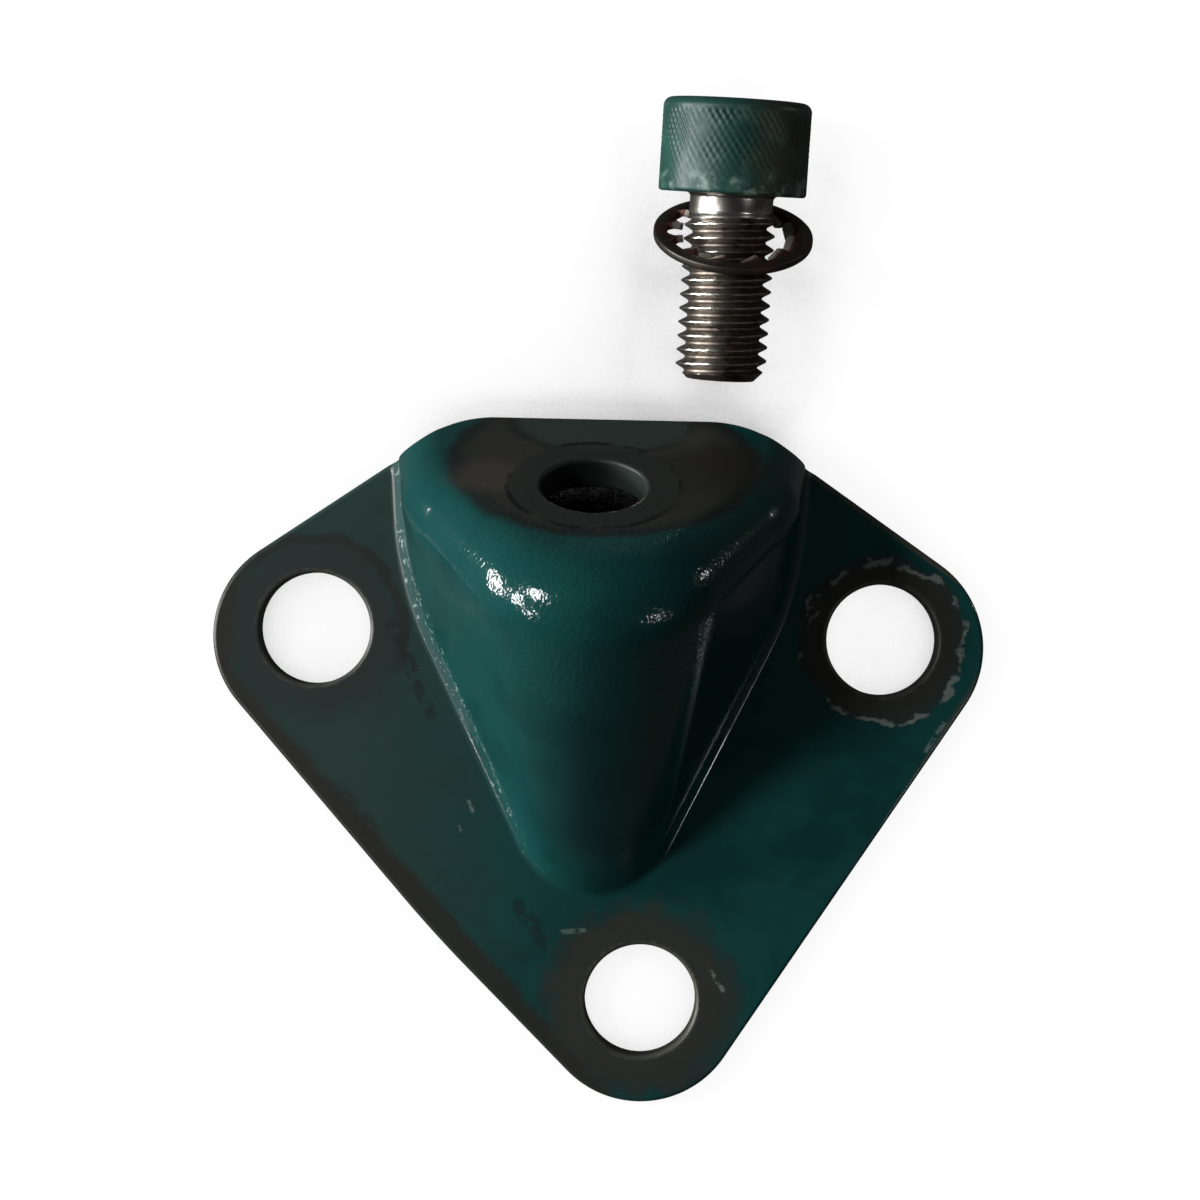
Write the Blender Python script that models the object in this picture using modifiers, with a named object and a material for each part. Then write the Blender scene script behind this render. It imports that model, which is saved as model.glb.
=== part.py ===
# Engine mount: a bracket pressed from one steel plate, with the cap screw
# and the toothed lock washer taken out of it and laid beside it.
# Metres, +Z up. The flange lies on the table and the pressed boss stands up from it.

import math

import bmesh
import bpy
import numpy as np
from mathutils import Matrix, Vector

MM = 0.001

# Plate of the bracket
PLATE = 3.5 * MM
EDGE_BREAK = 0.4 * MM

# Flange in plan, measured from the middle of its two upper holes
HOLE_SPACING = 62.4 * MM
HOLE_DROP = 40.15 * MM
HOLE_SHIFT = 5.45 * MM
FLANGE_HOLE = 12.2 * MM
LOBE_RADIUS = 11.2 * MM
LOBE_DROP = 0.85 * MM
BACK_HALF_WIDTH = 15.54 * MM
BROW_RADIUS = 13.0 * MM
BOW_UPPER = math.radians(1.5)
BOW_LOWER = math.radians(2.4)
BOW_RADIUS = 150.0 * MM
BACK_EDGE = 23.5 * MM

# Fold line where the boss rises from the flange: a vee with a round foot
FOOT_REACH = 28.6 * MM
FOOT_RADIUS = 8.4 * MM
VEE_HALF_ANGLE = math.radians(26.0)
SHOULDER_LEVEL = 4.5 * MM
SHOULDER_RADIUS = 38.0 * MM
SIDE_FLARE = math.radians(4.0)
FOLD_RADIUS = 1.2 * MM

# Walls of the boss
SIDE_DRAFT = math.radians(5.0)
VEE_DRAFT = math.radians(18.3)

# Ledge: the inclined seat that closes the boss, with the screw hole
LEDGE_TILT = math.radians(58.0)
LEDGE_HOLE = 11.0 * MM
LEDGE_HOLE_X = -0.8 * MM
LEDGE_HOLE_Y = 15.66 * MM
LEDGE_HOLE_HEIGHT = 19.5 * MM
RIM_SHOULDER_RADIUS = 15.0 * MM
NOSE_RADIUS = 15.0 * MM
RIM_INNER_BACK = 0.6 * MM
RIM_INNER_NOSE = 3.0 * MM

# Cap screw with a hexagon socket; its shank is drawn at the thread's pitch diameter
THREAD = 10.0 * MM
THREAD_PITCH = 1.5 * MM
SCREW_LENGTH = 20.0 * MM
HEAD_DIAMETER = 16.0 * MM
HEAD_HEIGHT = 10.0 * MM
HEAD_TOP_ROUND = 1.0 * MM
HEAD_FOOT_ROUND = 0.4 * MM
NECK_ROUND = 0.5 * MM
SOCKET_FLATS = 8.0 * MM
SOCKET_DEPTH = 5.0 * MM
TIP_LENGTH = 1.5 * MM
TIP_DIAMETER = 7.4 * MM

# Toothed lock washer, leaning on the shank with its low side against the head; its middle
# rides a little above the shank's axis
WASHER_DIAMETER = 17.3 * MM
WASHER_THICKNESS = 0.9 * MM
WASHER_RIDE = 0.2 * MM
WASHER_SIDE_PLAY = 0.4 * MM
TOOTH_COUNT = 12
TOOTH_SHARE = 0.44
TOOTH_WIDTH = 2.3 * MM
TOOTH_TIP_WIDTH = 1.5 * MM
TOOTH_THICKNESS = 0.8 * MM
TOOTH_TWIST = math.radians(24.0)

# Where the loose screw lies: the middle of its tip, in the flange's plan
SCREW_TIP_X = 12.67 * MM
SCREW_TIP_Y = 28.2 * MM
SCREW_HEADING = math.radians(2.2)

# Clearance between pieces that lie against each other
CLEARANCE = 0.3 * MM

# How finely round stretches are drawn
LOBE_STEPS = 18
CORNER_STEPS = 6
HOLE_SIDES = 36
TURN_SIDES = 40
FOLD_STEPS = 4
RIM_STEPS = 6
WALL_STEPS = 3
END_STEPS = 4
SHOULDER_STEPS = 5
VEE_STEPS = 5
NOSE_STEPS = 8
BOW_STEPS = 3
FLAT_MARGIN = 1.6 * MM
NEARLY_PARALLEL = 1e-16
LEAN_ROUNDS = 12

# Values that follow from the sizes above
LEDGE_NORMAL = Vector((0.0, math.sin(LEDGE_TILT), math.cos(LEDGE_TILT)))
LEDGE_DOWN = Vector((0.0, math.cos(LEDGE_TILT), -math.sin(LEDGE_TILT)))
LEDGE_CENTRE = Vector((0.0, LEDGE_HOLE_Y, LEDGE_HOLE_HEIGHT))
LEFT_LOBE = (-HOLE_SPACING / 2, -LOBE_DROP)
RIGHT_LOBE = (HOLE_SPACING / 2, -LOBE_DROP)
FOOT_LOBE = (HOLE_SHIFT, -HOLE_DROP)
BROW_RUN = HOLE_SPACING / 2 - BACK_HALF_WIDTH
BROW_RISE = BACK_EDGE + LOBE_DROP
BROW_SLOPE = math.atan2(BROW_RISE, BROW_RUN) - math.asin(LOBE_RADIUS / math.hypot(BROW_RUN, BROW_RISE))
PITCH_DIAMETER = THREAD - 0.6495 * THREAD_PITCH
SCREW_TILT = math.atan2((HEAD_DIAMETER - THREAD) / 2, SCREW_LENGTH - TIP_LENGTH)
TIP_HEIGHT = THREAD / 2 * math.cos(SCREW_TILT) - TIP_LENGTH * math.sin(SCREW_TILT)
SCREW_TOTAL = SCREW_LENGTH + HEAD_HEIGHT
SCREW_REACH = SCREW_TOTAL * math.cos(SCREW_TILT) + HEAD_DIAMETER / 2 * math.sin(SCREW_TILT)
FRONT_EXTENT = HOLE_DROP + LOBE_RADIUS
REAR_EXTENT = SCREW_TIP_Y + SCREW_REACH * math.cos(SCREW_HEADING)
FRAME_SHIFT = Vector((0.0, (FRONT_EXTENT - REAR_EXTENT) / 2, 0.0))


# Plane geometry

def unit(angle):
    return np.array([math.cos(angle), math.sin(angle)])


def tangent_line(centre, angle):
    # Line in direction `angle` that keeps the lobe on its left
    direction = unit(angle)
    outward = np.array([direction[1], -direction[0]])
    return np.array(centre) + LOBE_RADIUS * outward, direction


def meet(first, second):
    # Point where two lines, each a point and a direction, cross
    (start, along), (other, across) = first, second
    steps = np.linalg.solve(np.column_stack([along, -across]), other - start)
    return start + steps[0] * along


def round_corner(before, corner, after, radius, steps):
    # Arc that rounds one corner of a plane path
    enter = (corner - before) / np.linalg.norm(corner - before)
    leave = (after - corner) / np.linalg.norm(after - corner)
    turn = math.acos(max(-1.0, min(1.0, float(enter @ leave))))
    side = np.sign(enter[0] * leave[1] - enter[1] * leave[0])
    normal = side * np.array([-enter[1], enter[0]])
    start = corner - enter * radius * math.tan(turn / 2)
    centre = start + normal * radius
    angles = np.linspace(0.0, turn, steps + 1)
    return [centre + radius * (enter * math.sin(a) - normal * math.cos(a)) for a in angles]


def flange_outline():
    # Counter-clockwise from the rear left corner of the ledge
    left_angle = math.atan2(FOOT_LOBE[1] - LEFT_LOBE[1], FOOT_LOBE[0] - LEFT_LOBE[0])
    right_angle = math.atan2(RIGHT_LOBE[1] - FOOT_LOBE[1], RIGHT_LOBE[0] - FOOT_LOBE[0])
    lines = [
        (np.array([0.0, BACK_EDGE]), unit(math.pi)),
        tangent_line(LEFT_LOBE, math.pi + BROW_SLOPE),
        tangent_line(LEFT_LOBE, left_angle - BOW_UPPER),
        tangent_line(FOOT_LOBE, left_angle + BOW_LOWER),
        tangent_line(FOOT_LOBE, right_angle),
        tangent_line(RIGHT_LOBE, math.pi - BROW_SLOPE),
    ]
    radii = [BROW_RADIUS, LOBE_RADIUS, BOW_RADIUS, LOBE_RADIUS, LOBE_RADIUS, BROW_RADIUS]
    steps = [CORNER_STEPS, LOBE_STEPS, BOW_STEPS, LOBE_STEPS, LOBE_STEPS, CORNER_STEPS]
    count = len(lines)
    corners = [meet(lines[i], lines[(i + 1) % count]) for i in range(count)]
    points = []
    for i in range(count):
        following = corners[(i + 1) % count]
        points += round_corner(corners[i - 1], corners[i], following, radii[i], steps[i])
    return points


def cut_by_outline(inner, outer, outline):
    # How far along inner to outer the outline is first crossed
    step = outer - inner
    crossings = []
    for i, corner in enumerate(outline):
        edge = outline[(i + 1) % len(outline)] - corner
        system = np.column_stack([step, -edge])
        if abs(np.linalg.det(system)) < NEARLY_PARALLEL:
            continue
        along, across = np.linalg.solve(system, corner - inner)
        if along > 0.0 and 0.0 <= across <= 1.0:
            crossings.append(along)
    return min(crossings)


# Boss: two guide lines, the fold on the flange and the rim of the ledge

def wall_plane(angle, draft, point):
    # Left wall whose foot runs at `angle` from the Y axis: its outward normal and its offset
    normal = np.array([
        -math.cos(angle) * math.cos(draft),
        -math.sin(angle) * math.cos(draft),
        math.sin(draft),
    ])
    return normal, float(normal @ point)


def guide_corners():
    # Corners of both guide lines on the left side: end, shoulder and apex.
    # The fold's are in plan, the rim's are across and down the ledge.
    apex = -FOOT_REACH - FOOT_RADIUS * (1 / math.sin(VEE_HALF_ANGLE) - 1)
    shoulder_x = -(SHOULDER_LEVEL - apex) * math.tan(VEE_HALF_ANGLE)
    end_x = shoulder_x - (BACK_EDGE - SHOULDER_LEVEL) * math.tan(SIDE_FLARE)
    fold_corners = [(end_x, BACK_EDGE), (shoulder_x, SHOULDER_LEVEL), (0.0, apex)]
    fold = [np.array(corner) for corner in fold_corners]
    foot = np.array([shoulder_x, SHOULDER_LEVEL, PLATE])
    side_normal, side_offset = wall_plane(SIDE_FLARE, SIDE_DRAFT, foot)
    vee_normal, vee_offset = wall_plane(VEE_HALF_ANGLE, VEE_DRAFT, foot)
    # In ledge coordinates a wall plane becomes a line
    across = np.array([1.0, 0.0, 0.0])
    down = np.array(LEDGE_DOWN)
    middle = np.array(LEDGE_CENTRE)
    side_row = [side_normal @ across, side_normal @ down]
    vee_row = [vee_normal @ across, vee_normal @ down]
    side_rest = side_offset - side_normal @ middle
    vee_rest = vee_offset - vee_normal @ middle
    shoulder = np.linalg.solve(np.array([side_row, vee_row]), np.array([side_rest, vee_rest]))
    end_down = (BACK_EDGE - LEDGE_HOLE_Y) / math.cos(LEDGE_TILT) + PLATE
    end = np.array([(side_rest - side_row[1] * end_down) / side_row[0], end_down])
    apex_down = np.array([0.0, vee_rest / vee_row[1]])
    return fold, [end, shoulder, apex_down]


def guide_samples(corners, shoulder_radius, nose_radius):
    # Matched samples of a guide line, left end to right end: point and direction
    end, shoulder, apex = corners
    mirror = np.array([-apex[0] - shoulder[0], shoulder[1]])
    shoulder_arc = round_corner(end, shoulder, apex, shoulder_radius, SHOULDER_STEPS)
    nose_arc = round_corner(shoulder, apex, mirror, nose_radius, 2 * NOSE_STEPS)
    half = [end] + shoulder_arc
    for i in range(1, VEE_STEPS):
        half.append(shoulder_arc[-1] + (nose_arc[0] - shoulder_arc[-1]) * i / VEE_STEPS)
    half += nose_arc[:NOSE_STEPS + 1]
    points = half + [np.array([-p[0], p[1]]) for p in reversed(half[:-1])]
    side = (shoulder - end) / np.linalg.norm(shoulder - end)
    vee = (apex - shoulder) / np.linalg.norm(apex - shoulder)
    headings = [side, side]
    headings += [turn_between(side, vee, i / SHOULDER_STEPS) for i in range(1, SHOULDER_STEPS + 1)]
    headings += [vee] * (VEE_STEPS - 1)
    headings += [turn_between(vee, np.array([1.0, 0.0]), i / NOSE_STEPS) for i in range(NOSE_STEPS + 1)]
    headings += [np.array([h[0], -h[1]]) for h in reversed(headings[:-1])]
    return points, headings


def turn_between(first, second, share):
    start = math.atan2(first[1], first[0])
    swing = math.atan2(second[1], second[0]) - start
    swing = (swing + math.pi) % (2 * math.pi) - math.pi
    return unit(start + swing * share)


def fillet(corner, enter, leave, radius, steps):
    # Arc between two directions in space that meet at a corner
    turn = enter.angle(leave)
    start = corner - enter * radius * math.tan(turn / 2)
    normal = (leave - enter * leave.dot(enter)).normalized()
    centre = start + normal * radius
    angles = [turn * i / steps for i in range(steps + 1)]
    return [centre + radius * (enter * math.sin(a) - normal * math.cos(a)) for a in angles]


def on_ledge(across, down):
    # Point of the ledge from its ledge coordinates
    return LEDGE_CENTRE + Vector((across, 0.0, 0.0)) + LEDGE_DOWN * down


def boss_section(fold_point, fold_way, rim_point, rim_way, rise, rim_radius):
    # One line over the boss: flange, fold, wall, rim, ledge; `rise` points up the wall
    foot = Vector((*fold_point, PLATE))
    foot_way = Vector((*fold_way, 0.0))
    top = on_ledge(*rim_point)
    top_way = Vector((rim_way[0], 0.0, 0.0)) + LEDGE_DOWN * rim_way[1]
    inward = Vector((-foot_way.y, foot_way.x, 0.0))
    wall_at_foot = (rise - foot_way * rise.dot(foot_way)).normalized()
    wall_at_top = (rise - top_way * rise.dot(top_way)).normalized()
    over = LEDGE_NORMAL.cross(top_way)
    fold_arc = fillet(foot, inward, wall_at_foot, FOLD_RADIUS, FOLD_STEPS)
    rim_arc = fillet(top, wall_at_top, over, rim_radius, RIM_STEPS)
    wall = [fold_arc[-1].lerp(rim_arc[0], i / WALL_STEPS) for i in range(1, WALL_STEPS)]
    flange_margin = fold_arc[0] - inward * FLAT_MARGIN
    ledge_margin = rim_arc[-1] + over * FLAT_MARGIN
    return [flange_margin] + fold_arc + wall + rim_arc + [ledge_margin]


def boss_sections(outline):
    # All sections, with the two end ones cut where the plate's outline passes
    fold, rim = guide_corners()
    fold_points, fold_ways = guide_samples(fold, SHOULDER_RADIUS, FOOT_RADIUS)
    rim_points, rim_ways = guide_samples(rim, RIM_SHOULDER_RADIUS, NOSE_RADIUS)
    count = len(fold_points)
    sections = []
    for i in range(count):
        share = 1 - abs(2 * i / (count - 1) - 1)
        eased = share * share * (3 - 2 * share)
        inner = RIM_INNER_BACK + (RIM_INNER_NOSE - RIM_INNER_BACK) * eased
        # Each side wall is flat behind its shoulder, so the end sections rise as their neighbours do
        j = min(max(i, 1), count - 2)
        rise = on_ledge(*rim_points[j]) - Vector((*fold_points[j], PLATE))
        sections.append(boss_section(
            fold_points[i], fold_ways[i], rim_points[i], rim_ways[i], rise, PLATE + inner))
    for end, neighbour in ((0, 1), (-1, -2)):
        trimmed = []
        for outer, inner in zip(sections[end], sections[neighbour]):
            along = cut_by_outline(np.array(inner.xy), np.array(outer.xy), outline)
            trimmed.append(inner.lerp(outer, along))
        sections[end] = trimmed
    left = [blend_sections(sections[0], sections[1], i / END_STEPS) for i in range(1, END_STEPS)]
    right = [blend_sections(sections[-2], sections[-1], i / END_STEPS) for i in range(1, END_STEPS)]
    return [sections[0]] + left + sections[1:-1] + right + [sections[-1]]


def blend_sections(first, second, share):
    return [a.lerp(b, share) for a, b in zip(first, second)]


def outline_between(outline, start, end):
    # Outline points passed on the way from one point on it to another, counter-clockwise
    def edge_of(point):
        gaps = []
        for i, corner in enumerate(outline):
            edge = outline[(i + 1) % len(outline)] - corner
            share = max(0.0, min(1.0, float((point - corner) @ edge / (edge @ edge))))
            gaps.append(np.linalg.norm(corner + share * edge - point))
        return int(np.argmin(gaps))
    first, last = edge_of(start), edge_of(end)
    count = (last - first) % len(outline)
    return [outline[(first + 1 + i) % len(outline)] for i in range(count)]


# Blender helpers

def new_material(name, colour, roughness, metallic):
    material = bpy.data.materials.new(name)
    material.use_nodes = True
    shader = material.node_tree.nodes["Principled BSDF"]
    shader.inputs["Base Color"].default_value = (*colour, 1.0)
    shader.inputs["Roughness"].default_value = roughness
    shader.inputs["Metallic"].default_value = metallic
    return material


def new_object(name, mesh, collection, parent=None):
    item = bpy.data.objects.new(name, mesh)
    collection.objects.link(item)
    item.parent = parent
    return item


def new_cutter(name, shape, matrix, collection, parent):
    mesh = bpy.data.meshes.new(name)
    shape.to_mesh(mesh)
    shape.free()
    cutter = new_object(name, mesh, collection, parent)
    cutter.matrix_basis = matrix
    cutter.hide_render = True
    cutter.display_type = "WIRE"
    return cutter


def cylinder(diameter, length, sides):
    shape = bmesh.new()
    bmesh.ops.create_cone(
        shape, cap_ends=True, segments=sides,
        radius1=diameter / 2, radius2=diameter / 2, depth=length)
    return shape


def cut(item, cutter):
    modifier = item.modifiers.new(cutter.name, "BOOLEAN")
    modifier.operation = "DIFFERENCE"
    modifier.solver = "EXACT"
    modifier.object = cutter


def turned(name, profile, collection, parent, closed):
    # Solid of revolution about Z; the profile runs down its outer side
    mesh = bpy.data.meshes.new(name)
    edges = [(i, i + 1) for i in range(len(profile) - 1)]
    if closed:
        edges.append((len(profile) - 1, 0))
    mesh.from_pydata([(radius, 0.0, height) for radius, height in profile], edges, [])
    item = new_object(name, mesh, collection, parent)
    screw = item.modifiers.new("Turn", "SCREW")
    screw.axis = "Z"
    screw.steps = TURN_SIDES
    screw.render_steps = TURN_SIDES
    screw.use_merge_vertices = True
    screw.merge_threshold = 0.00001
    return item


def shade(item, material, angle):
    mesh = item.data
    mesh.materials.append(material)
    mesh.shade_smooth()
    mesh.set_sharp_from_angle(angle=angle)


# The three pieces

def make_bracket(parts, cutters, frame):
    outline = flange_outline()
    sections = boss_sections(outline)
    shape = bmesh.new()
    grid = [[shape.verts.new(point) for point in section] for section in sections]
    for row, following in zip(grid, grid[1:]):
        for i in range(len(row) - 1):
            shape.faces.new((row[i], following[i], following[i + 1], row[i + 1]))
    left_foot, right_foot = sections[0][0], sections[-1][0]
    around = outline_between(outline, np.array(left_foot.xy), np.array(right_foot.xy))
    edge_verts = [shape.verts.new((*point, PLATE)) for point in around]
    shape.faces.new(edge_verts + [row[0] for row in reversed(grid)])
    left_top, right_top = sections[0][-1], sections[-1][-1]
    behind = outline_between(outline, np.array(right_top.xy), np.array(left_top.xy))
    back_verts = []
    for x, y in behind:
        down = (y - LEDGE_HOLE_Y) / math.cos(LEDGE_TILT)
        back_verts.append(shape.verts.new(on_ledge(x, down)))
    shape.faces.new(back_verts + [row[-1] for row in grid])
    bmesh.ops.recalc_face_normals(shape, faces=shape.faces)
    mesh = bpy.data.meshes.new("mount_bracket")
    shape.to_mesh(mesh)
    shape.free()
    bracket = new_object("mount_bracket", mesh, parts, frame)

    solidify = bracket.modifiers.new("Plate thickness", "SOLIDIFY")
    solidify.thickness = PLATE
    solidify.offset = -1.0
    solidify.use_even_offset = True
    solidify.use_quality_normals = True

    hole_places = [
        ("left_hole", -HOLE_SPACING / 2, 0.0),
        ("right_hole", HOLE_SPACING / 2, 0.0),
        ("foot_hole", HOLE_SHIFT, -HOLE_DROP),
    ]
    for name, x, y in hole_places:
        punch = cylinder(FLANGE_HOLE, 3 * PLATE, HOLE_SIDES)
        place = Matrix.Translation((x, y, PLATE / 2))
        cut(bracket, new_cutter(name, punch, place, cutters, frame))
    punch = cylinder(LEDGE_HOLE, 3 * PLATE, HOLE_SIDES)
    middle = on_ledge(LEDGE_HOLE_X, 0.0) - LEDGE_NORMAL * PLATE / 2
    place = Matrix.Translation(middle) @ Matrix.Rotation(-LEDGE_TILT, 4, "X")
    cut(bracket, new_cutter("ledge_hole", punch, place, cutters, frame))

    bevel = bracket.modifiers.new("Punched edge", "BEVEL")
    bevel.width = EDGE_BREAK
    bevel.segments = 2
    bevel.limit_method = "ANGLE"
    bevel.angle_limit = math.radians(60)
    bevel.use_clamp_overlap = False
    shade(bracket, new_material("green_enamel", (0.024, 0.120, 0.112), 0.25, 0.0), math.radians(40))


def screw_profile():
    # From the middle of the head's top, down the outer side, to the middle of the tip
    head, shank = HEAD_DIAMETER / 2, PITCH_DIAMETER / 2
    bearing = SCREW_LENGTH
    profile = [(0.0, SCREW_TOTAL)]
    for i in range(CORNER_STEPS + 1):
        a = math.pi / 2 * i / CORNER_STEPS
        profile.append((
            head - HEAD_TOP_ROUND * (1 - math.sin(a)),
            SCREW_TOTAL - HEAD_TOP_ROUND * (1 - math.cos(a)),
        ))
    profile.append((head, bearing + HEAD_FOOT_ROUND))
    profile.append((head - HEAD_FOOT_ROUND, bearing))
    profile.append((shank + NECK_ROUND, bearing))
    profile.append((shank, bearing - NECK_ROUND))
    profile.append((shank, TIP_LENGTH))
    profile.append((TIP_DIAMETER / 2, 0.0))
    profile.append((0.0, 0.0))
    return profile


def make_cap_screw(parts, cutters, place):
    screw = turned("cap_screw", screw_profile(), parts, place, False)
    screw.location = (0.0, 0.0, TIP_HEIGHT)
    screw.rotation_euler = (SCREW_TILT - math.pi / 2, 0.0, 0.0)
    socket = bmesh.new()
    across_corners = SOCKET_FLATS / math.cos(math.pi / 6)
    bmesh.ops.create_cone(
        socket, cap_ends=True, segments=6,
        radius1=across_corners / 2, radius2=across_corners / 2, depth=2 * SOCKET_DEPTH)
    seat = Matrix.Translation((0.0, 0.0, SCREW_TOTAL))
    cut(screw, new_cutter("hex_socket", socket, seat, cutters, screw))
    shade(screw, new_material("painted_screw_steel", (0.050, 0.130, 0.110), 0.40, 0.3), math.radians(35))


def washer_place():
    # Low rim on the table and against the head's underside, with its clearance. The lean
    # follows from the height of the shank, and a washer too small for the table hangs square
    radius, half = WASHER_DIAMETER / 2, WASHER_THICKNESS / 2
    bearing_y = SCREW_LENGTH * math.cos(SCREW_TILT)
    bearing_z = TIP_HEIGHT + SCREW_LENGTH * math.sin(SCREW_TILT)
    lean = SCREW_TILT
    for _ in range(LEAN_ROUNDS):
        low_corner_y = radius * math.sin(lean) + half * math.cos(lean)
        low_corner_z = 2 * half * math.sin(lean)
        plane_y = bearing_y - (low_corner_z - bearing_z) * math.tan(SCREW_TILT)
        middle_y = plane_y - CLEARANCE / math.cos(SCREW_TILT) - low_corner_y
        height = TIP_HEIGHT + middle_y * math.tan(SCREW_TILT) + WASHER_RIDE
        upright = min(1.0, height / math.hypot(radius, half))
        lean = max(SCREW_TILT, math.acos(upright) + math.atan2(half, radius))
    return middle_y, height, lean


def make_lock_washer(parts, cutters, place):
    radius, half = WASHER_DIAMETER / 2, WASHER_THICKNESS / 2
    middle_y, middle_z, lean = washer_place()
    # The tooth circle clears the shank, which passes through it askew and a little low
    askew = lean - SCREW_TILT
    low = WASHER_RIDE * math.cos(SCREW_TILT)
    reach = PITCH_DIAMETER / 2 + CLEARANCE + low + half * math.sin(askew)
    tooth_circle = reach / math.cos(askew) + half * math.sin(TOOTH_TWIST)
    tooth_length = TOOTH_SHARE * (radius - tooth_circle)
    ring_inner = tooth_circle + tooth_length
    profile = [(ring_inner, half), (radius, half), (radius, -half), (ring_inner, -half)]
    washer = turned("lock_washer", profile, parts, place, True)
    washer.location = (WASHER_SIDE_PLAY, middle_y, middle_z)
    washer.rotation_euler = (lean - math.pi / 2, 0.0, 0.0)

    teeth = bmesh.new()
    root = ring_inner + tooth_length / 2
    # Distance from the middle, width and share of the twist, from the root to the tip
    stations = [
        (root, TOOTH_WIDTH, 0.0),
        (ring_inner, TOOTH_WIDTH, 0.25),
        ((ring_inner + tooth_circle) / 2, (TOOTH_WIDTH + TOOTH_TIP_WIDTH) / 2, 0.8),
        (tooth_circle, TOOTH_TIP_WIDTH, 1.0),
    ]
    for tooth in range(TOOTH_COUNT):
        turn = Matrix.Rotation(2 * math.pi * (tooth + 0.5) / TOOTH_COUNT, 4, "Z")
        rings = []
        for distance, width, share in stations:
            twist = Matrix.Rotation(TOOTH_TWIST * share, 4, "X")
            corners = [(-1, -1), (1, -1), (1, 1), (-1, 1)]
            outward = Vector((distance, 0.0, 0.0))
            flat = [Vector((0.0, y * width / 2, z * TOOTH_THICKNESS / 2)) for y, z in corners]
            rings.append([teeth.verts.new(turn @ (twist @ point + outward)) for point in flat])
        for ring, following in zip(rings, rings[1:]):
            for i in range(4):
                teeth.faces.new((ring[i], ring[(i + 1) % 4], following[(i + 1) % 4], following[i]))
        teeth.faces.new(rings[0])
        teeth.faces.new(rings[-1])
    bmesh.ops.recalc_face_normals(teeth, faces=teeth.faces)
    joined = washer.modifiers.new("Teeth", "BOOLEAN")
    joined.operation = "UNION"
    joined.solver = "EXACT"
    joined.object = new_cutter("washer_teeth", teeth, Matrix.Identity(4), cutters, washer)
    shade(washer, new_material("dark_spring_steel", (0.045, 0.040, 0.038), 0.45, 0.8), math.radians(35))


def main():
    for item in list(bpy.data.objects):
        bpy.data.objects.remove(item, do_unlink=True)
    parts = bpy.data.collections.new("engine_mount")
    cutters = bpy.data.collections.new("cutters")
    bpy.context.scene.collection.children.link(parts)
    bpy.context.scene.collection.children.link(cutters)

    frame = new_object("mount_frame", None, parts)
    frame.location = FRAME_SHIFT
    screw_place = new_object("screw_place", None, parts, frame)
    screw_place.location = (SCREW_TIP_X, SCREW_TIP_Y, 0.0)
    screw_place.rotation_euler = (0.0, 0.0, -SCREW_HEADING)

    make_bracket(parts, cutters, frame)
    make_cap_screw(parts, cutters, screw_place)
    make_lock_washer(parts, cutters, screw_place)


main()
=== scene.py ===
import math

import bmesh
import bpy
import numpy as np
from mathutils import Matrix, Vector, noise


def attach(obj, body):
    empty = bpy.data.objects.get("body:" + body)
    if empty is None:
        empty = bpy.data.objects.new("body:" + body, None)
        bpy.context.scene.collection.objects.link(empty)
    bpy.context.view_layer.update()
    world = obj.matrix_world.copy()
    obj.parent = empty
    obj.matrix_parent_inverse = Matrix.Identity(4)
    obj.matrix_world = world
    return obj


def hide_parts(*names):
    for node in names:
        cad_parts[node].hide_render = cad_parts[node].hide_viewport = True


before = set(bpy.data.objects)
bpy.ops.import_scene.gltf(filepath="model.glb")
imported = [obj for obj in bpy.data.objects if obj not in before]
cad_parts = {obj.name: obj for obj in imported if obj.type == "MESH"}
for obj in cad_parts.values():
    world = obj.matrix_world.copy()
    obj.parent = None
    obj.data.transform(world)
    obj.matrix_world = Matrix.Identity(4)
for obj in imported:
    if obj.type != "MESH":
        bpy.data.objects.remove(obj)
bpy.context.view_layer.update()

mm = 0.001
scene = bpy.context.scene


# Small helpers

def toLinear(hexColour):
    parts = [int(hexColour[i:i + 2], 16) / 255 for i in (1, 3, 5)]
    linear = [c / 12.92 if c <= 0.04045 else ((c + 0.055) / 1.055) ** 2.4 for c in parts]
    return (*linear, 1)


def addNode(tree, kind, inputs, out=0, **settings):
    # Adds one node, sets it up, links what is a socket, and gives back one of its outputs
    node = tree.nodes.new("ShaderNode" + kind)
    for name, value in settings.items():
        setattr(node, name, value)
    for key, value in inputs.items():
        if isinstance(value, bpy.types.NodeSocket):
            tree.links.new(value, node.inputs[key])
        else:
            node.inputs[key].default_value = value
    return node.outputs[out] if node.outputs else node


def smoothShare(value, start, end):
    share = max(0, min(1, (value - start) / (end - start)))
    return share * share * (3 - 2 * share)


def placeObject(name, data):
    item = bpy.data.objects.new(name, data)
    scene.collection.objects.link(item)
    return item


def meshObject(name, points, faces):
    mesh = bpy.data.meshes.new(name)
    mesh.from_pydata([tuple(mm * c for c in point) for point in points], [], faces)
    shape = bmesh.new()
    shape.from_mesh(mesh)
    bmesh.ops.recalc_face_normals(shape, faces=shape.faces)
    shape.to_mesh(mesh)
    shape.free()
    return placeObject(name, mesh)


def punchObject(name, diameter, length, matrix):
    shape = bmesh.new()
    radius = diameter / 2 * mm
    bmesh.ops.create_cone(
        shape, cap_ends=True, segments=96, radius1=radius, radius2=radius, depth=length * mm)
    mesh = bpy.data.meshes.new(name)
    shape.to_mesh(mesh)
    shape.free()
    punch = placeObject(name, mesh)
    punch.matrix_world = matrix
    return punch


def combine(item, other, operation):
    change = item.modifiers.new(other.name, "BOOLEAN")
    change.operation = operation
    change.solver = "EXACT"
    change.object = other


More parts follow.
